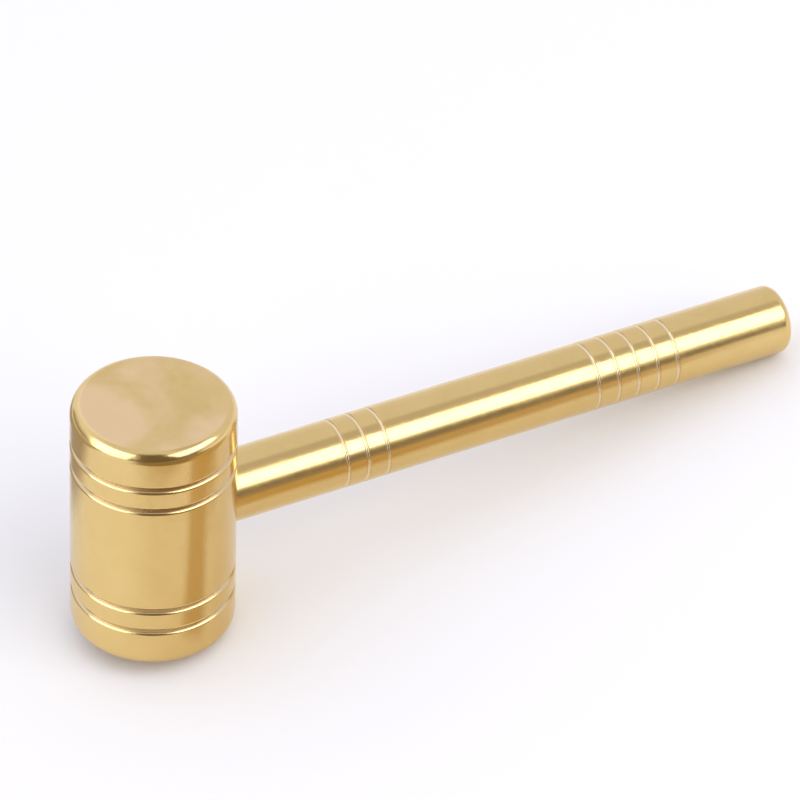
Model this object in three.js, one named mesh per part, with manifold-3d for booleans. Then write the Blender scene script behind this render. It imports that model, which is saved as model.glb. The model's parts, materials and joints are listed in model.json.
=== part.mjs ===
// A small solid brass hammer: a turned head, a turned handle, and the stud that screws them together.
// Millimetres, +Z up. The hammer lies as it does on a bench: tipped over by the weight of its handle,
// on the lower rim of the head and the rim of the butt. The bench is z = 0 and the handle points along +X.
import * as THREE from 'three';
import { mergeVertices } from 'three/addons/utils/BufferGeometryUtils.js';
import Module from 'manifold-3d';

// Head: a round bar with a flat striking face at each end and a pair of grooves near each face
const headRadius = 15;
const headLength = 49;
const headRimRadius = 2.1;
const headGrooveCount = 2;
const headGrooveInset = 8.15; // from a striking face to the middle of the groove next to it
const headGroovePitch = 4.75;
const headGrooveWidth = 1.3;
const headGrooveAngle = THREE.MathUtils.degToRad(60); // between a groove's two flanks
const headGrooveRootRadius = 0.4;

// Handle: a plain round bar with fine grooves in two groups
const handleRadius = 6.5;
const handleReach = 130; // from the head's axis to the butt face
const buttRimRadius = 1.8;
const neckChamfer = 0.3;
const frontGrooveCount = 3;
const frontGrooveInset = 21.4; // from the side of the head to the middle of the first groove
const buttGrooveCount = 5;
const buttGrooveInset = 24.9; // from the butt face to the middle of the last groove
const handleGroovePitch = 4.15;
const handleGrooveWidth = 0.9;
const handleGrooveDepth = 0.35;

// Joint: the handle's end sits on a spot-faced seat in the side of the head, drawn in by a threaded stud
const seatMargin = 0.5; // how far the seat lies below the lowest point of the hole's rim
const fitClearance = 0.3;
const studRadius = 4;
const studInHead = 14;
const studInHandle = 16;
const studChamfer = 0.8;
const spareThread = 1.5; // free depth past each end of the stud
const holeCountersink = 0.5; // chamfer at the mouth of each tapped hole
const drillPointAngle = THREE.MathUtils.degToRad(118);

// Fineness of the round forms
const headSides = 72;
const handleSides = 48;
const rimSteps = 5;
const headGrooveRootSteps = 4;
const handleGrooveSteps = 3;

// Places along the handle's axis, measured from the head's axis
const seatBoreRadius = handleRadius + fitClearance;
const seatPlace = Math.sqrt(headRadius ** 2 - seatBoreRadius ** 2) - seatMargin;
const neckPlace = seatPlace + fitClearance;
const holeRadius = studRadius + fitClearance;
const drillPointLength = holeRadius / Math.tan(drillPointAngle / 2);

const brass = { color: 0xd8b471, roughness: 0.16, metalness: 1 };
const steel = { color: 0x9fa3a6, roughness: 0.35, metalness: 1 };

const wasm = await Module();
wasm.setup();

// A quarter circle that rounds the rim between a side and an end face. The profile's points are (radius, place
// along the axis), and direction is +1 where the profile runs onto the upper face and -1 where it leaves the lower.
function rimArc(sideRadius, facePlace, rimRadius, direction) {
  const points = [];
  for (let step = 0; step <= rimSteps; step += 1) {
    const angle = (step / rimSteps) * (Math.PI / 2);
    points.push(new THREE.Vector2(
      sideRadius - rimRadius + rimRadius * Math.cos(angle),
      facePlace - direction * rimRadius * (1 - Math.sin(angle)),
    ));
  }
  return direction > 0 ? points : points.reverse();
}

// A groove turned with a blunt pointed tool: two straight flanks that run into the arc of the tool's nose.
function grooveVee(sideRadius, middle, width, angle, rootRadius, steps) {
  const flanksMeet = sideRadius - width / 2 / Math.tan(angle / 2);
  const rootMiddle = flanksMeet + rootRadius / Math.sin(angle / 2);
  const lean = (Math.PI - angle) / 2;
  const points = [new THREE.Vector2(sideRadius, middle - width / 2)];
  for (let step = 0; step <= steps; step += 1) {
    const turn = lean * ((2 * step) / steps - 1);
    points.push(new THREE.Vector2(
      rootMiddle - rootRadius * Math.cos(turn),
      middle + rootRadius * Math.sin(turn),
    ));
  }
  points.push(new THREE.Vector2(sideRadius, middle + width / 2));
  return points;
}

// A shallow round-bottomed groove: the arc of a circle whose middle lies outside the side that it cuts.
function grooveArc(sideRadius, middle, width, depth, steps) {
  const arcRadius = (width ** 2 / 4 + depth ** 2) / (2 * depth);
  const halfAngle = Math.atan2(width / 2, arcRadius - depth);
  const points = [];
  for (let step = 0; step <= steps; step += 1) {
    const angle = halfAngle * ((2 * step) / steps - 1);
    points.push(new THREE.Vector2(
      sideRadius + arcRadius - depth - arcRadius * Math.cos(angle),
      middle + arcRadius * Math.sin(angle),
    ));
  }
  return points;
}

// Turned forms are drawn along +Y, the axis of LatheGeometry. Only the places stay, with each point held once.
function turned(profile, sides) {
  const geometry = new THREE.LatheGeometry(profile, sides);
  geometry.deleteAttribute('normal');
  geometry.deleteAttribute('uv');
  return mergeVertices(geometry);
}

function solidOf(geometry) {
  return new wasm.Manifold(new wasm.Mesh({
    numProp: 3,
    vertProperties: new Float32Array(geometry.attributes.position.array),
    triVerts: new Uint32Array(geometry.index.array),
  }));
}

function geometryOf(solid) {
  const mesh = solid.getMesh();
  const geometry = new THREE.BufferGeometry();
  geometry.setAttribute('position', new THREE.BufferAttribute(mesh.vertProperties, 3));
  geometry.setIndex(new THREE.BufferAttribute(mesh.triVerts, 1));
  return geometry;
}

function piece(name, geometry, look) {
  geometry.computeVertexNormals();
  const mesh = new THREE.Mesh(geometry, new THREE.MeshStandardMaterial({ ...look, flatShading: true }));
  mesh.name = name;
  return mesh;
}

function headBar() {
  const top = headLength / 2;
  const grooves = [];
  for (let count = 0; count < headGrooveCount; count += 1) {
    const middle = top - headGrooveInset - count * headGroovePitch;
    grooves.push(-middle, middle);
  }
  grooves.sort((low, high) => low - high);
  const profile = [
    new THREE.Vector2(0, -top),
    ...rimArc(headRadius, -top, headRimRadius, -1),
    ...grooves.flatMap((middle) => (
      grooveVee(headRadius, middle, headGrooveWidth, headGrooveAngle, headGrooveRootRadius, headGrooveRootSteps)
    )),
    ...rimArc(headRadius, top, headRimRadius, 1),
    new THREE.Vector2(0, top),
  ];
  return turned(profile, headSides).rotateX(Math.PI / 2);
}

// The hole in the head's side, cut from outside: a flat seat for the neck, then the countersunk blind hole for
// the stud.
function seatCutter() {
  const holeEnd = seatPlace - studInHead - spareThread;
  const outside = headRadius + seatMargin;
  const profile = [
    new THREE.Vector2(0, holeEnd - drillPointLength),
    new THREE.Vector2(holeRadius, holeEnd),
    new THREE.Vector2(holeRadius, seatPlace - holeCountersink),
    new THREE.Vector2(holeRadius + holeCountersink, seatPlace),
    new THREE.Vector2(seatBoreRadius, seatPlace),
    new THREE.Vector2(seatBoreRadius, outside),
    new THREE.Vector2(0, outside),
  ];
  return turned(profile, handleSides).rotateZ(-Math.PI / 2);
}

function makeHead() {
  const bored = solidOf(headBar()).subtract(solidOf(seatCutter()));
  return piece('head', geometryOf(bored), brass);
}

// The handle's profile runs out of its blind hole, round the neck and along the side to the butt.
function makeHandle() {
  const holeEnd = neckPlace + studInHandle + spareThread;
  const grooves = [];
  for (let count = 0; count < frontGrooveCount; count += 1) {
    grooves.push(headRadius + frontGrooveInset + count * handleGroovePitch);
  }
  for (let count = buttGrooveCount - 1; count >= 0; count -= 1) {
    grooves.push(handleReach - buttGrooveInset - count * handleGroovePitch);
  }
  const profile = [
    new THREE.Vector2(0, holeEnd + drillPointLength),
    new THREE.Vector2(holeRadius, holeEnd),
    new THREE.Vector2(holeRadius, neckPlace + holeCountersink),
    new THREE.Vector2(holeRadius + holeCountersink, neckPlace),
    new THREE.Vector2(handleRadius - neckChamfer, neckPlace),
    new THREE.Vector2(handleRadius, neckPlace + neckChamfer),
    ...grooves.flatMap((middle) => (
      grooveArc(handleRadius, middle, handleGrooveWidth, handleGrooveDepth, handleGrooveSteps)
    )),
    ...rimArc(handleRadius, handleReach, buttRimRadius, 1),
    new THREE.Vector2(0, handleReach),
  ];
  return piece('handle', turned(profile, handleSides).rotateZ(-Math.PI / 2), brass);
}

function makeJoiningStud() {
  const start = seatPlace - studInHead;
  const end = neckPlace + studInHandle;
  const profile = [
    new THREE.Vector2(0, start),
    new THREE.Vector2(studRadius - studChamfer, start),
    new THREE.Vector2(studRadius, start + studChamfer),
    new THREE.Vector2(studRadius, end - studChamfer),
    new THREE.Vector2(studRadius - studChamfer, end),
    new THREE.Vector2(0, end),
  ];
  return piece('joining_stud', turned(profile, handleSides).rotateZ(-Math.PI / 2), steel);
}

// The bench line touches the rim of the head and the rim of the butt from below. Its slope is that of the line
// between the middles of the two roundings, corrected by the difference of their radii.
function restTilt() {
  const along = (handleReach - buttRimRadius) - (headRadius - headRimRadius);
  const up = (headLength / 2 - headRimRadius) - (handleRadius - buttRimRadius);
  const reach = Math.hypot(along, up);
  return Math.atan2(up, along) - Math.asin((buttRimRadius - headRimRadius) / reach);
}

const tipped = new THREE.Group();
tipped.add(makeHead(), makeHandle(), makeJoiningStud());
tipped.rotation.y = restTilt();
tipped.updateMatrixWorld(true);
const reachBox = new THREE.Box3().setFromObject(tipped, true);
tipped.position.set(-(reachBox.min.x + reachBox.max.x) / 2, 0, -reachBox.min.z);

const hammer = new THREE.Group();
hammer.add(tipped);

export default hammer;
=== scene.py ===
"""A small solid brass hammer, lying on a pale bench: turned head, turned handle and joining stud."""
import json
from math import acos, atan2, cos, pi, radians, sin, sqrt, tan

import bpy
from bpy.props import FloatProperty, FloatVectorProperty, IntProperty, PointerProperty
from mathutils import Matrix, Vector


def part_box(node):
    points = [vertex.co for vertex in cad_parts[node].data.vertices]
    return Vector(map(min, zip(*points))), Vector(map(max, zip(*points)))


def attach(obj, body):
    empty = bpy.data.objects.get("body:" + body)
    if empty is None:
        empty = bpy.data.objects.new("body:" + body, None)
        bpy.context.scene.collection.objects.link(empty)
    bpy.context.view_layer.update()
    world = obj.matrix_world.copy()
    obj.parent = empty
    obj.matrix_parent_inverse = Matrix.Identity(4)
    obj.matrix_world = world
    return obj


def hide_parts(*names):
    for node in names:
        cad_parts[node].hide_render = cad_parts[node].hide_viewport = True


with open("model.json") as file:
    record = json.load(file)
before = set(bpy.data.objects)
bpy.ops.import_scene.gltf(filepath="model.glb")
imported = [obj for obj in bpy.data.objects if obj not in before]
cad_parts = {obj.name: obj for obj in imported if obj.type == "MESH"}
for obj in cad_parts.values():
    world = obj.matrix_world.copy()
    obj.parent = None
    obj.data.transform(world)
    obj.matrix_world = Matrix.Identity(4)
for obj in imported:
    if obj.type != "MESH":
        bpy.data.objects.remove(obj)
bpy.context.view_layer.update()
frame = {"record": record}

bl_info = {
    "name": "Brass Hammer",
    "version": (1, 0, 0),
    "blender": (4, 5, 0),
    "location": "View3D > Sidebar > Hammer",
    "description": "Builds a turned brass hammer with its polished finish and a small studio",
    "category": "Add Mesh",
}

MM = 0.001
MOUNTS = {mount["name"]: mount for mount in frame["record"]["mounts"]}


# The hammer's own axes: the head along Z, the handle along X, and the origin where they cross

def mount_point(name):
    return Vector(MOUNTS[name]["pos_m"])


def hammer_place():
    """The matrix that takes the hammer from its own axes to where it rests on the bench."""
    along_head = (mount_point("upper_face") - mount_point("lower_face")).normalized()
    middle = (mount_point("upper_face") + mount_point("lower_face")) / 2
    along_handle = (mount_point("butt_face") - middle).normalized()
    sideways = along_head.cross(along_handle)
    turn = Matrix((along_handle, sideways, along_head)).transposed()
    return Matrix.Translation(middle) @ turn.to_4x4()


def node_radius(node):
    """Half the width of a turned node, whose axis lies in the plane y = 0."""
    low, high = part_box(node)
    return (high.y - low.y) / 2


HEAD_LENGTH = (mount_point("upper_face") - mount_point("lower_face")).length
HANDLE_REACH = (mount_point("butt_face") - hammer_place().translation).length


# What a user can change

def length(name, description, millimetres):
    return FloatProperty(name=name, description=description, default=millimetres * MM, min=0,
                         precision=5, subtype="DISTANCE", unit="LENGTH")


def angle(name, description, degrees):
    return FloatProperty(name=name, description=description, default=radians(degrees),
                         subtype="ANGLE", unit="ROTATION")


def colour(name, description, red, green, blue):
    return FloatVectorProperty(name=name, description=description, default=(red, green, blue),
                               size=3, min=0, max=1, subtype="COLOR")


def fraction(name, description, default):
    return FloatProperty(name=name, description=description, default=default, min=0, max=1,
                         subtype="FACTOR")


def whole_number(name, description, default, most):
    return IntProperty(name=name, description=description, default=default, min=0, max=most)


class HeadSizes(bpy.types.PropertyGroup):
    radius: length("Radius", "Radius of the head's side", node_radius("head") / MM)
    length: length("Length", "Distance between the striking faces", HEAD_LENGTH / MM)
    rim_radius: length("Rim radius", "How far the rounded rim reaches in over a striking face", 2.1)
    rim_reach: length("Rim reach", "How far the rounded rim reaches along the side", 2.5)
    groove_count: whole_number("Grooves", "Grooves near each face", 2, most=2)
    groove_inset: length("Groove inset", "From a striking face to its nearest groove's middle", 8.15)
    groove_pitch: length("Groove pitch", "From one groove to the next", 4.75)
    groove_width: length("Groove width", "Width between the flanks, without the lips", 1.2)
    groove_angle: angle("Groove angle", "Angle between a groove's two flanks", 60)
    groove_root: length("Groove root radius", "Rounding at the bottom of a groove", 0.12)
    lip_radius: length("Lip radius", "Rounding of a groove's lips", 0.6)


class HandleSizes(bpy.types.PropertyGroup):
    radius: length("Radius", "Radius of the handle's side", node_radius("handle") / MM)
    reach: length("Reach", "From the head's axis to the butt face", HANDLE_REACH / MM)
    rim_radius: length("Butt rim radius", "Rounding between the side and the butt face", 1.8)
    neck_radius: length("Neck rounding", "Rounding at the end that sits in the head", 0.25)
    front_grooves: whole_number("Front grooves", "Grooves near the head", 3, most=8)
    front_inset: length("Front inset", "From the head's side to the first groove's middle", 21.4)
    butt_grooves: whole_number("Butt grooves", "Grooves near the butt", 5, most=8)
    butt_inset: length("Butt inset", "From the butt face to the last groove's middle", 24.9)
    groove_pitch: length("Groove pitch", "From one groove to the next", 4.15)
    groove_width: length("Groove width", "Width of a groove at the surface", 0.9)
    groove_depth: length("Groove depth", "Depth of a groove below the surface", 0.35)
    lip_radius: length("Lip radius", "Rounding of a groove's lips", 0.08)


class JointSizes(bpy.types.PropertyGroup):
    stud_radius: length("Stud radius", "Outer radius of the thread", node_radius("joining_stud") / MM)
    thread_pitch: length("Thread pitch", "Travel of the stud's thread in one turn", 1.25)
    thread_depth: length("Thread depth", "Depth of the stud's thread", 0.68)
    stud_chamfer: length("Stud chamfer", "Chamfer at each end of the stud", 0.8)
    in_head: length("Stud in head", "How far the stud reaches past the seat", 14.0)
    in_handle: length("Stud in handle", "How far the stud reaches into the handle", 16.0)
    spare: length("Spare depth", "Free depth of each hole past the stud's end", 1.5)
    hole_clearance: length("Hole clearance", "How much wider each hole is than the stud", 0.3)
    seat_margin: length("Seat margin", "Depth of the seat below the lowest point of its edge", 0.5)
    seat_fit: length("Seat fit", "Gap between the neck and the seat in the head", 0.05)
    seat_clearance: length("Seat clearance", "Room round the neck that the seat's depth allows for", 0.3)
    countersink: length("Countersink", "Chamfer at the mouth of each tapped hole", 0.5)


class BrassFinish(bpy.types.PropertyGroup):
    bright: colour("Bright brass", "Colour where the polish is fresh", 0.77, 0.56, 0.23)
    aged: colour("Aged brass", "Colour where hands have dulled the polish", 0.71, 0.51, 0.195)
    handle_groove: colour("Handle groove brass", "Colour in the handle's grooves", 0.84, 0.70, 0.45)
    head_groove: colour("Head groove brass", "Colour in the head's grooves", 0.70, 0.57, 0.36)
    haze: colour("Haze", "Colour where wiping left a pale haze on a face", 0.90, 0.66, 0.38)
    haze_size: length("Haze size", "Size of the hazy patches on the faces", 18)
    haze_pattern: FloatProperty(name="Haze pattern", description="Chooses the pattern", default=2.0)
    haze_strength: fraction("Haze strength", "How strong the haze is", 0.75)
    roughness: fraction("Roughness", "Roughness of the polish", 0.13)
    smear: fraction("Smears", "How much smears roughen the polish", 0.10)
    cloud_size: length("Cloud size", "Size of the cloudy patches of the polish", 7.0)
    mark_pitch: length("Turning marks", "Spacing of the fine marks that the lathe left", 0.12)
    mark_height: length("Mark height", "Height of the turning marks", 0.0006)
    wave_height: length("Wave height", "Height of the broad unevenness of the polish", 0.006)
    scratch_depth: length("Scratch depth", "Depth of the fine scratches", 0.0015)


class StudioSettings(bpy.types.PropertyGroup):
    bench_colour: colour("Bench", "Colour of the bench", 0.88, 0.88, 0.88)
    bench_size: length("Bench size", "Side of the square bench", 4000)
    lens: FloatProperty(name="Lens", description="Focal length of the camera in millimetres",
                        default=305.214, unit="CAMERA")
    azimuth: angle("Azimuth", "Direction of the camera round the hammer", -22.1516)
    elevation: angle("Elevation", "Height of the camera above the bench", 42.2297)
    roll: angle("Roll", "Turn of the camera about its line of sight", 8.5703)
    distance: length("Distance", "From the camera to the point that it aims at", 1234.499)
    aim: FloatVectorProperty(name="Aim", description="The point that the camera aims at", size=3,
                             default=(-0.004874, 0, 0.026243), precision=5, subtype="XYZ", unit="LENGTH")


# Turned outlines are made of strokes. A stroke is a list of (radius, place, facing radius, facing
# place): a point of the outline and the direction that the surface faces there. Outlines run from
# the lower pole to the upper one, round the outside, so that the surface faces to their right.

CLOSE = 1e-9  # points of an outline that are nearer than this are one
ROUND_LIP_STEPS, ROUND_FLOOR_STEPS = 3, 8
POINTED_LIP_STEPS, POINTED_ROOT_STEPS = 8, 12


def straight(start, end, steps=1):
    """A straight stroke from one (radius, place) to another."""
    over_radius, over_place = end[0] - start[0], end[1] - start[1]
    reach = sqrt(over_radius ** 2 + over_place ** 2)
    facing = (over_place / reach, -over_radius / reach)
    return [(start[0] + over_radius * k / steps, start[1] + over_place * k / steps, *facing)
            for k in range(steps + 1)]


def rounded(middle, radius, first, last, steps):
    """A round stroke that bulges outwards, between two facing angles counted from straight outwards."""
    angles = [first + (last - first) * k / steps for k in range(steps + 1)]
    return [(middle[0] + radius * cos(a), middle[1] + radius * sin(a), cos(a), sin(a)) for a in angles]


def rim(middle, across, along, steps):
    """The rounded rim below a side: a quarter oval that runs from the end face up to the side."""
    points = []
    for k in range(steps + 1):
        turn = pi / 2 * (k / steps - 1)
        facing = Vector((cos(turn) / across, sin(turn) / along)).normalized()
        points.append((middle[0] + across * cos(turn), middle[1] + along * sin(turn), *facing))
    return points


def hollowed(middle, radius, first, last, steps):
    """A round stroke that is cut inwards, about a middle outside the metal."""
    angles = [first + (last - first) * k / steps for k in range(steps + 1)]
    return [(middle[0] - radius * cos(a), middle[1] - radius * sin(a), cos(a), sin(a)) for a in angles]


def round_groove(side, middle, width, depth, lip):
    """The strokes of a shallow groove with rounded lips and a round floor."""
    reach = (width ** 2 / 4 + depth ** 2) / (2 * depth)
    lean = acos(1 - depth / reach)
    floor_middle = (side - depth + reach - lip, middle)
    return [
        rounded((side - lip, middle - width / 2), lip, 0, lean, ROUND_LIP_STEPS),
        hollowed(floor_middle, reach - lip, lean, -lean, ROUND_FLOOR_STEPS),
        rounded((side - lip, middle + width / 2), lip, -lean, 0, ROUND_LIP_STEPS),
    ]


def pointed_groove(side, middle, width, flank_angle, root, lip):
    """The strokes of a groove with straight flanks, rounded lips and a small round root."""
    lean = (pi - flank_angle) / 2
    half = width / 2 + lip * tan(lean / 2)
    root_middle = (side - width / 2 / tan(flank_angle / 2) + root / sin(flank_angle / 2), middle)
    return [
        rounded((side - lip, middle - half), lip, 0, lean, POINTED_LIP_STEPS),
        hollowed(root_middle, root, lean, -lean, POINTED_ROOT_STEPS),
        rounded((side - lip, middle + half), lip, -lean, 0, POINTED_LIP_STEPS),
    ]


def mirrored(stroke):
    """The stroke on the other side of the middle, run backwards."""
    return [(radius, -place, facing_radius, -facing_place)
            for radius, place, facing_radius, facing_place in reversed(stroke)]


def joined_up(strokes):
    """The strokes with a straight one wherever one doesn't start where the last ended."""
    whole = [strokes[0]]
    for stroke in strokes[1:]:
        end, start = whole[-1][-1][:2], stroke[0][:2]
        if abs(end[0] - start[0]) + abs(end[1] - start[1]) > CLOSE:
            whole.append(straight(end, start))
        whole.append(stroke)
    return whole


class Skin:
    """The closed surface of a piece, with the direction that it faces at each corner of each face."""

    def __init__(self):
        self.points, self.faces, self.facings = [], [], []

    def row(self, points):
        """Adds points, and returns their numbers in the skin."""
        first = len(self.points)
        self.points.extend(points)
        return list(range(first, len(self.points)))

    def face(self, corners, facings):
        self.faces.append(corners)
        self.facings.extend(facings)

    def strip(self, lower, lower_facings, upper, upper_facings, closed=True):
        """Faces between two rows, which run anticlockwise as seen along the outline."""
        count = len(lower)
        for k in range(count if closed else count - 1):
            n = (k + 1) % count
            self.face([lower[k], lower[n], upper[n], upper[k]],
                      [lower_facings[k], lower_facings[n], upper_facings[n], upper_facings[k]])

    def fan(self, pole, pole_facing, ring, ring_facings, upper):
        """Triangles from a pole to the ring beside it."""
        count = len(ring)
        for k in range(count):
            n = (k + 1) % count
            if upper:
                self.face([ring[k], ring[n], pole], [ring_facings[k], ring_facings[n], pole_facing])
            else:
                self.face([ring[n], ring[k], pole], [ring_facings[n], ring_facings[k], pole_facing])

    def piece(self, name, place):
        mesh = bpy.data.meshes.new(name)
        mesh.from_pydata(self.points, [], self.faces)
        mesh.polygons.foreach_set("use_smooth", [True] * len(mesh.polygons))
        mesh.normals_split_custom_set(self.facings)
        mesh.update()
        made = bpy.data.objects.new(name, mesh)
        made.matrix_world = place
        bpy.context.scene.collection.objects.link(made)
        return made


def about_z(radius, place, turn):
    return (radius * cos(turn), radius * sin(turn), place)


def about_x(radius, place, turn):
    return (place, radius * cos(turn), radius * sin(turn))


def revolve(skin, strokes, about, sides, first_row=None):
    """Turns an outline about an axis. Returns the last row, unless the outline ends at a pole."""
    turns = [2 * pi * k / sides for k in range(sides)]
    row = first_row
    for stroke in strokes:
        facings = None
        for radius, place, facing_radius, facing_place in stroke:
            if radius < CLOSE:
                here = skin.row([about(0, place, 0)])
                here_facings = [about(facing_radius, facing_place, 0)]
            else:
                here_facings = [about(facing_radius, facing_place, turn) for turn in turns]
                here = None
            if facings is None:
                facings = here_facings
                if row is None:
                    row = here or skin.row([about(radius, place, turn) for turn in turns])
                continue
            if here is None:
                here = skin.row([about(radius, place, turn) for turn in turns])
            if len(row) == 1:
                skin.fan(row[0], facings[0], here, here_facings, upper=False)
            elif len(here) == 1:
                skin.fan(here[0], here_facings[0], row, facings, upper=True)
            else:
                skin.strip(row, facings, here, here_facings)
            row, facings = here, here_facings
    return row


# The head

DRILL_POINT = 0.6  # length of a drill's point as a share of its radius
HEAD_SIDES = 240
HEAD_FACE_RINGS = 6
HEAD_RIM_STEPS = 20
PATCH_COLUMNS = 31  # columns of the head's grid on each side of the bore that the patch takes up
PATCH_RINGS = 10


def seat_place(head, handle, joint):
    """How far the flat seat for the neck lies from the head's axis."""
    bore = handle.radius + joint.seat_clearance
    return sqrt(head.radius ** 2 - bore ** 2) - joint.seat_margin


def head_end(head, upper):
    """The strokes from a pole of the head to the side between its two pairs of grooves, or back."""
    top = head.length / 2
    rim_middle = head.radius - head.rim_radius
    strokes = [
        straight((0, -top), (rim_middle, -top), HEAD_FACE_RINGS),
        rim((rim_middle, head.rim_reach - top), head.rim_radius, head.rim_reach, HEAD_RIM_STEPS),
    ]
    for count in range(head.groove_count):
        middle = -top + head.groove_inset + count * head.groove_pitch
        strokes += pointed_groove(head.radius, middle, head.groove_width, head.groove_angle,
                                  head.groove_root, head.lip_radius)
    if upper:
        strokes = [mirrored(stroke) for stroke in reversed(strokes)]
    return joined_up(strokes)


def patch_border(sides, rows):
    """The grid places round the patch about the bore, anticlockwise as seen from outside."""
    right, left = PATCH_COLUMNS, sides - PATCH_COLUMNS
    border = [(k % sides, 0) for k in range(-PATCH_COLUMNS, PATCH_COLUMNS)]
    border += [(right, j) for j in range(rows)]
    border += [(k % sides, rows) for k in range(PATCH_COLUMNS, -PATCH_COLUMNS, -1)]
    border += [(left, j) for j in range(rows, 0, -1)]
    return border


def patch_spoke(head_radius, bore, turn, height):
    """The ends of a spoke on the unrolled side: on the patch's border, and on the bore's edge."""
    spoke = atan2(height, head_radius * sin(turn))
    edge_turn = atan2(bore * cos(spoke), sqrt(head_radius ** 2 - (bore * cos(spoke)) ** 2))
    return (head_radius * turn, height), (head_radius * edge_turn, bore * sin(spoke))


def bored_band(skin, head, lower, upper, low, high, bore):
    """The head's side between its grooves, where the seat's round bore breaks through.

    The side is a plain grid, apart from a patch about the bore, whose spokes run from the patch's
    border to the bore's edge. Returns the row of points on the bore's edge, and where they are.
    """
    sides = len(lower)
    columns = [2 * pi * k / sides for k in range(sides)]
    facing = [about_z(1, 0, turn) for turn in columns]
    rows = 2 * PATCH_COLUMNS
    heights = [low + (high - low) * j / rows for j in range(rows + 1)]
    plain = range(PATCH_COLUMNS, sides - PATCH_COLUMNS + 1)
    grid = {(k, 0): lower[k] for k in range(sides)}
    grid.update({(k, rows): upper[k] for k in range(sides)})
    for j in range(1, rows):
        made = skin.row([about_z(head.radius, heights[j], columns[k]) for k in plain])
        grid.update({(k, j): point for k, point in zip(plain, made)})
    for j in range(rows):
        skin.strip([grid[k, j] for k in plain], [facing[k] for k in plain],
                   [grid[k, j + 1] for k in plain], [facing[k] for k in plain], closed=False)
    border = patch_border(sides, rows)
    spokes = []
    for k, j in border:
        turn = columns[k] if k <= sides // 2 else columns[k] - 2 * pi
        spokes.append(patch_spoke(head.radius, bore, turn, heights[j]))
    ring = [grid[place] for place in border]
    ring_facing = [about_z(1, 0, outer[0] / head.radius) for outer, inner in spokes]
    for step in range(1, PATCH_RINGS + 1):
        share = step / PATCH_RINGS
        unrolled = [(outer[0] + (inner[0] - outer[0]) * share, outer[1] + (inner[1] - outer[1]) * share)
                    for outer, inner in spokes]
        here = skin.row([about_z(head.radius, height, arc / head.radius) for arc, height in unrolled])
        here_facing = [about_z(1, 0, arc / head.radius) for arc, height in unrolled]
        skin.strip(ring, ring_facing, here, here_facing)
        ring, ring_facing = here, here_facing
    return ring, [skin.points[point] for point in ring]


def build_head(head, handle, joint):
    """The grooved bar, with the seat for the handle's neck and the tapped hole below it."""
    skin = Skin()
    lower = revolve(skin, head_end(head, upper=False), about_z, HEAD_SIDES)
    lower_end = skin.points[lower[0]][2]
    turns = [2 * pi * k / HEAD_SIDES for k in range(HEAD_SIDES)]
    upper = skin.row([about_z(head.radius, -lower_end, turn) for turn in turns])
    revolve(skin, head_end(head, upper=True), about_z, HEAD_SIDES, first_row=upper)

    bore = handle.radius + joint.seat_fit
    edge, edge_points = bored_band(skin, head, lower, upper, lower_end, -lower_end, bore)
    seat = seat_place(head, handle, joint)
    hole = joint.stud_radius + joint.hole_clearance
    hole_end = seat - joint.in_head - joint.spare

    outward = [(0, point[1] / bore, point[2] / bore) for point in edge_points]
    inward = [(0, -y, -z) for x, y, z in outward]
    ahead = [(1, 0, 0)] * len(edge)
    wall = skin.row([(seat, point[1], point[2]) for point in edge_points])
    skin.strip(edge, inward, wall, inward)
    wide = hole + joint.countersink
    mouth = skin.row([(seat, y * wide, z * wide) for x, y, z in outward])
    skin.strip(wall, ahead, mouth, ahead)
    throat = skin.row([(seat - joint.countersink, y * hole, z * hole) for x, y, z in outward])
    slant = sqrt(0.5)  # what a way that leans by 45 degrees gains along each axis
    slanted = [(slant, y * slant, z * slant) for x, y, z in inward]
    skin.strip(mouth, slanted, throat, slanted)
    bottom = skin.row([(hole_end, y * hole, z * hole) for x, y, z in outward])
    skin.strip(throat, inward, bottom, inward)
    drill_point = skin.row([(hole_end - hole * DRILL_POINT, 0, 0)])
    skin.fan(drill_point[0], (1, 0, 0), bottom, inward, upper=True)
    return skin


# The handle

HANDLE_SIDES = 144
NECK_STEPS = 6
BUTT_RIM_STEPS = 14
BUTT_FACE_RINGS = 5


def build_handle(head, handle, joint):
    """The grooved bar, from the end of its tapped hole round the neck and along the side to the butt."""
    start = seat_place(head, handle, joint) + joint.seat_fit
    hole = joint.stud_radius + joint.hole_clearance
    hole_end = start + joint.in_handle + joint.spare
    neck = handle.neck_radius
    rim_middle = handle.radius - handle.rim_radius
    first = head.radius + handle.front_inset
    last = handle.reach - handle.butt_inset
    middles = [first + k * handle.groove_pitch for k in range(handle.front_grooves)]
    middles += [last - k * handle.groove_pitch for k in reversed(range(handle.butt_grooves))]
    strokes = [
        straight((0, hole_end + hole * DRILL_POINT), (hole, hole_end)),
        straight((hole, hole_end), (hole, start + joint.countersink)),
        straight((hole, start + joint.countersink), (hole + joint.countersink, start)),
        straight((hole + joint.countersink, start), (handle.radius - neck, start)),
        rounded((handle.radius - neck, start + neck), neck, -pi / 2, 0, NECK_STEPS),
    ]
    for middle in middles:
        strokes += round_groove(handle.radius, middle, handle.groove_width, handle.groove_depth,
                                handle.lip_radius)
    strokes += [
        rounded((rim_middle, handle.reach - handle.rim_radius), handle.rim_radius, 0, pi / 2,
                BUTT_RIM_STEPS),
        straight((rim_middle, handle.reach), (0, handle.reach), BUTT_FACE_RINGS),
    ]
    skin = Skin()
    revolve(skin, joined_up(strokes), about_x, HANDLE_SIDES)
    return skin


# The stud

STUD_SIDES = 48
ROWS_PER_TURN = 10
THREAD_FLAT = 1 / 8  # the share of the pitch that the crest is flat for, and the root as well
SHARP_ANGLE = 30  # degrees between two faces past which their edge is sharp


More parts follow.
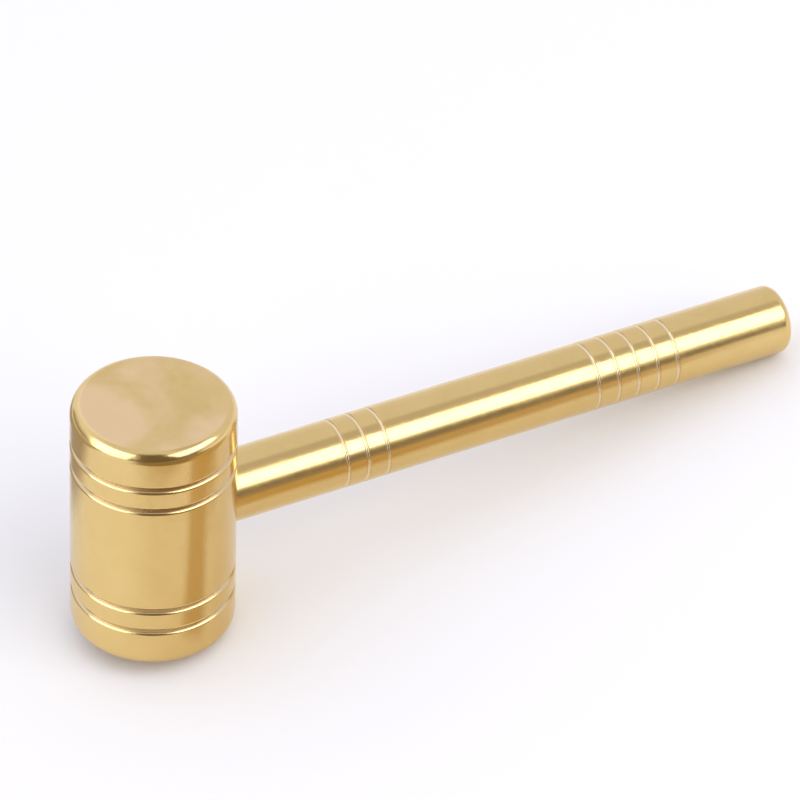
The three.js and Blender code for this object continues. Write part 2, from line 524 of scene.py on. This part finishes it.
def thread_depth_at(turns, depth):
    """Depth of a thread with straight flanks, at a place counted in turns."""
    share = abs((turns % 1) - 0.5) * 2
    return depth * min(max((share - THREAD_FLAT) / (1 - 2 * THREAD_FLAT), 0), 1)


def build_stud(head, handle, joint):
    """The stud, whose thread runs out in a chamfer at each end."""
    seat = seat_place(head, handle, joint)
    start, end = seat - joint.in_head, seat + joint.seat_fit + joint.in_handle
    count = round((end - start) / joint.thread_pitch * ROWS_PER_TURN)
    skin = Skin()
    rows = []
    for row in range(count + 1):
        place = start + (end - start) * row / count
        from_end = min(place - start, end - place)
        most = joint.stud_radius - max(joint.stud_chamfer - from_end, 0)
        points = []
        for k in range(STUD_SIDES):
            turns = (place - start) / joint.thread_pitch - k / STUD_SIDES
            radius = min(joint.stud_radius - thread_depth_at(turns, joint.thread_depth), most)
            points.append(about_x(radius, place, 2 * pi * k / STUD_SIDES))
        rows.append(skin.row(points))
    radial = [about_x(1, 0, 2 * pi * k / STUD_SIDES) for k in range(STUD_SIDES)]
    back, front = [(-1, 0, 0)] * STUD_SIDES, [(1, 0, 0)] * STUD_SIDES
    skin.fan(skin.row([(start, 0, 0)])[0], back[0], rows[0], back, upper=False)
    for lower, upper in zip(rows, rows[1:]):
        skin.strip(lower, radial, upper, radial)
    skin.fan(skin.row([(end, 0, 0)])[0], front[0], rows[-1], front, upper=True)
    return skin


# Node materials

class Field:
    """A number that changes over a surface. Sums on it add Math nodes to its tree."""

    def __init__(self, nodes, socket):
        self.nodes, self.socket = nodes, socket

    def join(self, operation, *values):
        return self.nodes.field("ShaderNodeMath", {"operation": operation}, dict(enumerate(values)))

    def __add__(self, other):
        return self.join("ADD", self, other)

    def __sub__(self, other):
        return self.join("SUBTRACT", self, other)

    def __mul__(self, other):
        return self.join("MULTIPLY", self, other)

    def __truediv__(self, other):
        return self.join("DIVIDE", self, other)

    def __pow__(self, other):
        return self.join("POWER", self, other)

    def __radd__(self, other):
        return self.join("ADD", other, self)

    def __rsub__(self, other):
        return self.join("SUBTRACT", other, self)

    def __rmul__(self, other):
        return self.join("MULTIPLY", other, self)

    def __neg__(self):
        return self.join("MULTIPLY", self, -1)

    def __abs__(self):
        return self.join("ABSOLUTE", self)

    def limited(self):
        """The number held between 0 and 1."""
        return self.join("MINIMUM", self.join("MAXIMUM", self, 0), 1)

    def rising(self, start, end):
        """0 below start, 1 above end and a smooth rise between them."""
        share = ((self - start) / (end - start)).limited()
        return share * share * (3 - 2 * share)

    def falling(self, start, end):
        """1 below start, 0 above end and a smooth fall between them."""
        return 1 - self.rising(start, end)


class Nodes:
    """A node tree in the making."""

    def __init__(self, tree):
        self.tree = tree
        self.tree.nodes.clear()

    def node(self, kind, settings=None, inputs=None):
        made = self.tree.nodes.new(kind)
        for name, value in (settings or {}).items():
            setattr(made, name, value)
        for name, value in (inputs or {}).items():
            if isinstance(value, Field):
                value = value.socket
            if isinstance(value, bpy.types.NodeSocket):
                self.tree.links.new(value, made.inputs[name])
            else:
                made.inputs[name].default_value = value
        return made

    def field(self, kind, settings=None, inputs=None):
        return Field(self, self.node(kind, settings, inputs).outputs[0])

    def place(self):
        """Where a point of the surface lies, by the axes of its own object."""
        return self.node("ShaderNodeTexCoord").outputs["Object"]

    def split(self, vector):
        parts = self.node("ShaderNodeSeparateXYZ", inputs={0: vector}).outputs
        return [Field(self, part) for part in parts]

    def noise(self, dimensions="3D", **inputs):
        return self.field("ShaderNodeTexNoise", {"noise_dimensions": dimensions}, inputs)

    def mixed(self, share, first, second):
        """A colour between two others."""
        made = self.node("ShaderNodeMix", {"data_type": "RGBA"}, {0: share, 6: first, 7: second})
        return made.outputs[2]

    def bump(self, height, distance, under=None, inwards=False):
        """The way that the surface faces with this relief on it, and the relief under it."""
        inputs = {"Strength": 1.0, "Distance": distance, "Height": height}
        if under is not None:
            inputs["Normal"] = under
        return self.node("ShaderNodeBump", {"invert": inwards}, inputs).outputs[0]

    def surface(self, inputs):
        """Ends a material's tree with a Principled shader."""
        shader = self.node("ShaderNodeBsdfPrincipled", inputs=inputs)
        self.node("ShaderNodeOutputMaterial", inputs={0: shader.outputs[0]})


def new_material(name):
    material = bpy.data.materials.new(name)
    material.use_nodes = True
    return material, Nodes(material.node_tree)


def opaque(shade):
    return (*shade, 1)


# The finishes of the pieces

FACE_EDGE = (0.02 * MM, 0.2 * MM)  # how far below an end its face gives way to the rim
RIM_EDGE = (2.2 * MM, 2.5 * MM)  # how far below an end the rim gives way to the side
SMEARS_PER_CLOUD = 2.6
HAIR_TURN = (0.5, 0.9, 0.3)
HAIR_STRETCH = (1, 9, 14)
HAIR_FINENESS = 170
HAIR_THINNESS = 22
STAIN_FINENESS = 260
CLEAN_STEEL = (0.55, 0.56, 0.57)
OILY_STEEL = (0.36, 0.36, 0.36)


def polished_brass(name, finish, axis, side_radius, end_place, groove_depth, groove_shade):
    """Polished brass with cloudy smears, turning marks, fine scratches and tinted grooves.

    The marks follow the axis of the piece, which is 0 for X and 2 for Z: they are rings on the side
    and circles on the end faces.
    """
    material, nodes = new_material(name)
    place = nodes.place()
    parts = nodes.split(place)
    along = abs(parts.pop(axis))
    radius = (parts[0] * parts[0] + parts[1] * parts[1]) ** 0.5
    from_end = end_place - along
    on_face = from_end.falling(*FACE_EDGE)
    sunk = (side_radius - radius).rising(0.1 * groove_depth, 0.7 * groove_depth)
    sunk = sunk * from_end.rising(*RIM_EDGE)

    clouds = nodes.noise(Vector=place, Scale=1 / finish.cloud_size, Detail=4, Roughness=0.6,
                         Distortion=0.7)
    haze = nodes.noise("4D", Vector=place, W=finish.haze_pattern, Scale=1 / finish.haze_size,
                       Detail=3, Roughness=0.5, Distortion=0.4)
    smears = nodes.noise(Vector=place, Scale=SMEARS_PER_CLOUD / finish.cloud_size, Detail=3,
                         Roughness=0.55, Distortion=1.2)
    marks = nodes.noise("1D", W=(along - radius) / finish.mark_pitch, Scale=1, Detail=3,
                        Roughness=0.7)
    stretched = nodes.node("ShaderNodeMapping", inputs={
        "Vector": place, "Rotation": HAIR_TURN, "Scale": HAIR_STRETCH})
    hairs = nodes.noise(Vector=stretched.outputs[0], Scale=HAIR_FINENESS, Detail=2, Roughness=0.5,
                        Distortion=0.3)
    hairlines = (1 - abs(hairs - 0.5) * HAIR_THINNESS).limited() * smears.rising(0.4, 0.6)
    cloudy = clouds.rising(0.36, 0.64)
    smeared = smears.rising(0.45, 0.75)
    hazy = haze.rising(0.40, 0.60) * on_face

    aged = cloudy * (0.35 + 0.35 * on_face)
    shade = nodes.mixed(aged, opaque(finish.bright), opaque(finish.aged))
    shade = nodes.mixed(hazy * finish.haze_strength, shade, opaque(finish.haze))
    shade = nodes.mixed(sunk, shade, opaque(groove_shade))
    roughness = (finish.roughness + finish.smear * smeared * (0.5 + 0.5 * on_face) + 0.05 * cloudy
                 + 0.06 * sunk + 0.05 * (marks - 0.5))
    waves = nodes.bump(clouds, finish.wave_height)
    rings = nodes.bump(marks, finish.mark_height, under=waves)
    scratched = nodes.bump(hairlines, finish.scratch_depth, under=rings, inwards=True)
    nodes.surface({"Base Color": shade, "Metallic": 1, "Roughness": roughness, "Normal": scratched})
    return material


def threaded_steel(name):
    """Plain steel with oily stains."""
    material, nodes = new_material(name)
    stains = nodes.noise(Vector=nodes.place(), Scale=STAIN_FINENESS, Detail=3)
    shade = nodes.mixed(stains.rising(0.35, 0.65), opaque(CLEAN_STEEL), opaque(OILY_STEEL))
    nodes.surface({"Base Color": shade, "Metallic": 1, "Roughness": 0.3 + 0.2 * stains})
    return material


# The studio

BENCH_GRAIN = (0.80, 0.79, 0.78)
GRAIN_FINENESS = 40
BOARD_REACH = 2000 * MM  # how far the brown board goes to the left, to the right and in front
BOARD_BACK = 300 * MM
BOARD_HEIGHT = 1 * MM
# Colours of the painted shade on the board: near on the left, near on the right, and further off
PAINTED_SHADE_LEFT = (0.50, 0.33, 0.085)
PAINTED_SHADE_RIGHT = (0.50, 0.36, 0.19)
PAINTED_SHADE_FAR = (0.24, 0.165, 0.09)
# The head's painted shadow on the board: a wedge that opens from the foot of the head
HEAD_SHADOW_TIP = Vector((-56.23, -21.01)) * MM
HEAD_SHADOW_WAY = radians(-48)
HEAD_SHADOW_START = 4.5 * MM  # half the painted shadow's width at its tip
HEAD_SHADOW_SPREAD = 0.21  # and what that gains for each metre along it
WARM_WHITE = (1.0, 0.98, 0.95)
COOL_WHITE = (0.93, 0.97, 1.0)
PLAIN_WALL = (0.86, 0.86, 0.97)
BACK_WALL = (1.0, 1.02, 1.15)
GREY_WALL = (0.36, 0.33, 0.30)
DARK_WALL = (0.19, 0.155, 0.12)
TINY = 0.0001  # keeps a way straight up from being divided by nothing
SENSOR_WIDTH = 36
VIEW_RANGE = (10 * MM, 100)


def pale_bench(name, shade):
    """A matt surface of this shade with a faint grain."""
    material, nodes = new_material(name)
    grain = nodes.noise(Vector=nodes.place(), Scale=GRAIN_FINENESS, Detail=3)
    tone = nodes.mixed(grain * 0.04, opaque(shade), opaque(BENCH_GRAIN))
    nodes.surface({"Base Color": tone, "Roughness": 0.85, "Specular IOR Level": 0.2})
    return material


def either(*masks):
    """These masks laid over each other: 1 wherever one of them is 1."""
    clear = 1 - masks[0]
    for mask in masks[1:]:
        clear = clear * (1 - mask)
    return 1 - clear


def painted_shade():
    """Brown shade for the board that only the polish shows: painted shadows, and darker further off.

    It has five parts: in front of the hammer; under the handle, the handle's painted shadow; a wedge
    that opens from the foot of the head, the head's painted shadow; a faint part between these; and one
    behind the head on the left. Their edges fade out, so that no reflection has a hard outline.
    """
    material, nodes = new_material("painted_shade")
    x, y = nodes.split(nodes.place())[:2]
    right = x.rising(-35 * MM, -10 * MM)

    in_front = (-y).rising(68 * MM, 80 * MM) * (x - 1.05 * y).rising(-120 * MM, -20 * MM)
    # Painted shadow of the handle on the bench, seen in the polish
    handle_shadow = (-y).rising(20 * MM, 48 * MM) * right
    # Painted shadow of the head, a wedge from its foot, seen in the polish
    along = (x - HEAD_SHADOW_TIP.x) * cos(HEAD_SHADOW_WAY) + (y - HEAD_SHADOW_TIP.y) * sin(HEAD_SHADOW_WAY)
    across = (y - HEAD_SHADOW_TIP.y) * cos(HEAD_SHADOW_WAY) - (x - HEAD_SHADOW_TIP.x) * sin(HEAD_SHADOW_WAY)
    head_shadow = (abs(across) / (HEAD_SHADOW_START + HEAD_SHADOW_SPREAD * along)).falling(0.5, 1.35) * 0.7
    head_shadow = head_shadow * along.rising(-2 * MM, 5 * MM) * along.falling(50 * MM, 70 * MM)
    faint = (x - y).rising(-85 * MM, -25 * MM) * (-y).rising(0, 20 * MM) * 0.22
    left = (x + 0.5 * y).falling(25 * MM, 75 * MM)
    back_left = y.rising(35 * MM, 55 * MM) * x.falling(-80 * MM, -60 * MM) * 0.75
    cover = either(either(in_front, handle_shadow, head_shadow, faint) * left, back_left)

    # The painted shade is darker further from the hammer
    far = either((-y - 50 * MM * right).rising(66 * MM, 105 * MM), y.rising(25 * MM, 45 * MM))
    near = nodes.mixed(x.rising(-20 * MM, 40 * MM), opaque(PAINTED_SHADE_LEFT), opaque(PAINTED_SHADE_RIGHT))
    shade = nodes.mixed(far, near, opaque(PAINTED_SHADE_FAR))
    nodes.surface({"Base Color": shade, "Roughness": 0.8, "Alpha": cover})
    return material


def level_sheet(name, left, right, front, back, height, material):
    """A level rectangle of the stage."""
    corners = [(left, front, height), (right, front, height),
               (right, back, height), (left, back, height)]
    mesh = bpy.data.meshes.new(name)
    mesh.from_pydata(corners, [], [(0, 1, 2, 3)])
    mesh.materials.append(material)
    made = bpy.data.objects.new(name, mesh)
    bpy.context.scene.collection.objects.link(made)
    return made


def lay_painted_shade_board():
    """The board of painted shade, a little above the bench and seen by nothing but the polish."""
    board = level_sheet("painted_shade_board", left=-BOARD_REACH, right=BOARD_REACH, front=-BOARD_REACH,
                        back=BOARD_BACK, height=BOARD_HEIGHT, material=painted_shade())
    for ray in ("camera", "diffuse", "shadow", "transmission"):
        setattr(board, "visible_" + ray, False)


def direction(azimuth, elevation):
    """The way from the hammer to a lamp or camera. Azimuth 0 is towards -Y, and it turns towards +X."""
    return Vector((sin(azimuth) * cos(elevation), -cos(azimuth) * cos(elevation), sin(elevation)))


def facing_back(way):
    """The rotation of a lamp or camera that looks back along this way, with its X axis level."""
    return (-way).to_track_quat("-Z", "Y").to_matrix().to_4x4()


def soft_box(name, azimuth, elevation, distance, width, height, brightness, tint, on_bench=False):
    """A soft box turned towards the hammer, whose face has this brightness.

    It shows in the polish and doesn't light the bench, or with on_bench the other way round.
    """
    lamp = bpy.data.lights.new(name, "AREA")
    lamp.color = tint
    lamp.shape = "RECTANGLE"
    lamp.size, lamp.size_y = width, height
    lamp.energy = brightness * pi * width * height
    made = bpy.data.objects.new(name, lamp)
    way = direction(radians(azimuth), radians(elevation))
    made.matrix_world = Matrix.Translation(way * distance) @ facing_back(way)
    made.visible_camera = False
    made.visible_diffuse = on_bench
    made.visible_glossy = not on_bench
    bpy.context.scene.collection.objects.link(made)


def hang_soft_boxes():
    """Three wide ones that light the bench, and two that show in the polish."""
    soft_box("window", azimuth=-140, elevation=42, distance=2.5, width=1.6, height=1.6, brightness=0.25,
             tint=WARM_WHITE, on_bench=True)
    soft_box("front_fill", azimuth=20, elevation=40, distance=2.5, width=2.5, height=2.0, brightness=2.1,
             tint=WARM_WHITE, on_bench=True)
    soft_box("ceiling", azimuth=0, elevation=90, distance=2.5, width=2.5, height=2.5, brightness=0.3,
             tint=WARM_WHITE, on_bench=True)
    soft_box("left_soft_box", azimuth=-84.5, elevation=28, distance=0.80, width=0.76, height=0.72,
             brightness=2.3, tint=COOL_WHITE)
    soft_box("right_soft_box", azimuth=37, elevation=38, distance=0.80, width=0.84, height=0.43,
             brightness=2.6, tint=(1, 1, 1))


def room_light():
    """The room: pale walls, and a dark pillar and a dark low part behind the camera.

    It is brighter behind the hammer, apart from a grey corner, and has a grey patch overhead.
    """
    world = bpy.data.worlds.new("room")
    world.use_nodes = True
    nodes = Nodes(world.node_tree)
    x, y, z = nodes.split(nodes.node("ShaderNodeTexCoord").outputs["Generated"])
    level = (x * x + y * y + TINY) ** 0.5

    def wall_part(azimuth, outer, inner, fades_from, gone_at):
        """A part of the walls that fades out between two angles from its azimuth and between two
        heights, each the sine of an elevation."""
        way = direction(radians(azimuth), 0)
        beside = (x * way.x + y * way.y) / level
        return beside.rising(cos(radians(outer)), cos(radians(inner))) * z.falling(fades_from, gone_at)

    pillar = wall_part(-19, outer=29, inner=22, fades_from=0.78, gone_at=0.985)
    low = wall_part(-19, outer=62, inner=48, fades_from=0.20, gone_at=0.30)
    back = wall_part(-145, outer=66.42, inner=36.87, fades_from=0.80, gone_at=0.95)
    corner = wall_part(-135, outer=32, inner=24, fades_from=0.10, gone_at=0.60)
    patch_way = direction(radians(80), radians(58))
    beside_patch = x * patch_way.x + y * patch_way.y + z * patch_way.z
    patch = beside_patch.rising(cos(radians(16)), cos(radians(7)))

    shade = nodes.mixed(back, opaque(PLAIN_WALL), opaque(BACK_WALL))
    shade = nodes.mixed(corner * 0.9, shade, opaque(GREY_WALL))
    shade = nodes.mixed(patch * 0.45, shade, opaque(GREY_WALL))
    shade = nodes.mixed(either(pillar, low * 0.85), shade, opaque(DARK_WALL))
    light = nodes.node("ShaderNodeBackground", inputs={"Color": shade, "Strength": 1})
    nodes.node("ShaderNodeOutputWorld", inputs={0: light.outputs[0]})
    bpy.context.scene.world = world


def mount_camera(studio):
    """The camera, which looks at its aim from a direction and a distance."""
    camera = bpy.data.cameras.new("hammer_camera")
    camera.lens = studio.lens
    camera.sensor_width = SENSOR_WIDTH
    camera.clip_start, camera.clip_end = VIEW_RANGE
    made = bpy.data.objects.new("hammer_camera", camera)
    way = direction(studio.azimuth, studio.elevation)
    made.matrix_world = (Matrix.Translation(Vector(studio.aim) + way * studio.distance)
                         @ facing_back(way) @ Matrix.Rotation(-studio.roll, 4, "Z"))
    bpy.context.scene.collection.objects.link(made)
    bpy.context.scene.camera = made


# The operators

def finished(piece, material, node):
    """Gives a piece its material and its place in the frame."""
    piece.data.materials.append(material)
    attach(piece, "root")
    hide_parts(node)


class HAMMER_OT_make_head(bpy.types.Operator):
    """Turns the head, with its grooves, rims and the bored seat for the handle"""
    bl_idname = "hammer.make_head"
    bl_label = "Make Head"

    def execute(self, context):
        scene = context.scene
        sizes, finish = scene.hammer_head, scene.hammer_brass
        skin = build_head(sizes, scene.hammer_handle, scene.hammer_joint)
        brass = polished_brass("head_brass", finish, axis=2, side_radius=sizes.radius,
                               end_place=sizes.length / 2, groove_depth=sizes.groove_width / 2,
                               groove_shade=finish.head_groove)
        finished(skin.piece("turned_head", hammer_place()), brass, "head")
        return {"FINISHED"}


class HAMMER_OT_make_handle(bpy.types.Operator):
    """Turns the handle, with its two groups of grooves and its rounded butt"""
    bl_idname = "hammer.make_handle"
    bl_label = "Make Handle"

    def execute(self, context):
        scene = context.scene
        sizes, finish = scene.hammer_handle, scene.hammer_brass
        skin = build_handle(scene.hammer_head, sizes, scene.hammer_joint)
        brass = polished_brass("handle_brass", finish, axis=0, side_radius=sizes.radius,
                               end_place=sizes.reach, groove_depth=sizes.groove_depth,
                               groove_shade=finish.handle_groove)
        finished(skin.piece("turned_handle", hammer_place()), brass, "handle")
        return {"FINISHED"}


class HAMMER_OT_make_stud(bpy.types.Operator):
    """Cuts the threaded stud that joins the handle to the head"""
    bl_idname = "hammer.make_stud"
    bl_label = "Make Joining Stud"

    def execute(self, context):
        scene = context.scene
        skin = build_stud(scene.hammer_head, scene.hammer_handle, scene.hammer_joint)
        stud = skin.piece("threaded_stud", hammer_place())
        stud.data.set_sharp_from_angle(angle=radians(SHARP_ANGLE))
        finished(stud, threaded_steel("stud_steel"), "joining_stud")
        return {"FINISHED"}


class HAMMER_OT_make_studio(bpy.types.Operator):
    """Sets up the bench, the board of painted shade, the soft boxes, the room and the camera"""
    bl_idname = "hammer.make_studio"
    bl_label = "Make Studio"

    def execute(self, context):
        studio = context.scene.hammer_studio
        half = studio.bench_size / 2
        level_sheet("bench_top", left=-half, right=half, front=-half, back=half, height=0,
                    material=pale_bench("bench_white", studio.bench_colour))
        hang_soft_boxes()
        lay_painted_shade_board()
        room_light()
        mount_camera(studio)
        context.scene.view_settings.view_transform = "Standard"
        return {"FINISHED"}


class HAMMER_PT_tools(bpy.types.Panel):
    """Lists the hammer's sizes and makes its pieces"""
    bl_label = "Brass Hammer"
    bl_idname = "HAMMER_PT_tools"
    bl_space_type = "VIEW_3D"
    bl_region_type = "UI"
    bl_category = "Hammer"

    def draw(self, context):
        for operator in OPERATORS:
            self.layout.operator(operator.bl_idname)
        for name in SETTINGS:
            box = self.layout.box()
            group = getattr(context.scene, name)
            for key in group.bl_rna.properties.keys():
                if key not in ("rna_type", "name"):
                    box.prop(group, key)


SETTINGS = {
    "hammer_head": HeadSizes,
    "hammer_handle": HandleSizes,
    "hammer_joint": JointSizes,
    "hammer_brass": BrassFinish,
    "hammer_studio": StudioSettings,
}
OPERATORS = (HAMMER_OT_make_head, HAMMER_OT_make_handle, HAMMER_OT_make_stud, HAMMER_OT_make_studio)
CLASSES = (*SETTINGS.values(), *OPERATORS, HAMMER_PT_tools)


def register():
    for cls in CLASSES:
        bpy.utils.register_class(cls)
    for name, group in SETTINGS.items():
        setattr(bpy.types.Scene, name, PointerProperty(type=group))


def unregister():
    for name in SETTINGS:
        delattr(bpy.types.Scene, name)
    for cls in reversed(CLASSES):
        bpy.utils.unregister_class(cls)


def main():
    register()
    bpy.ops.hammer.make_head()
    bpy.ops.hammer.make_handle()
    bpy.ops.hammer.make_stud()
    bpy.ops.hammer.make_studio()


if __name__ == "__main__":
    main()
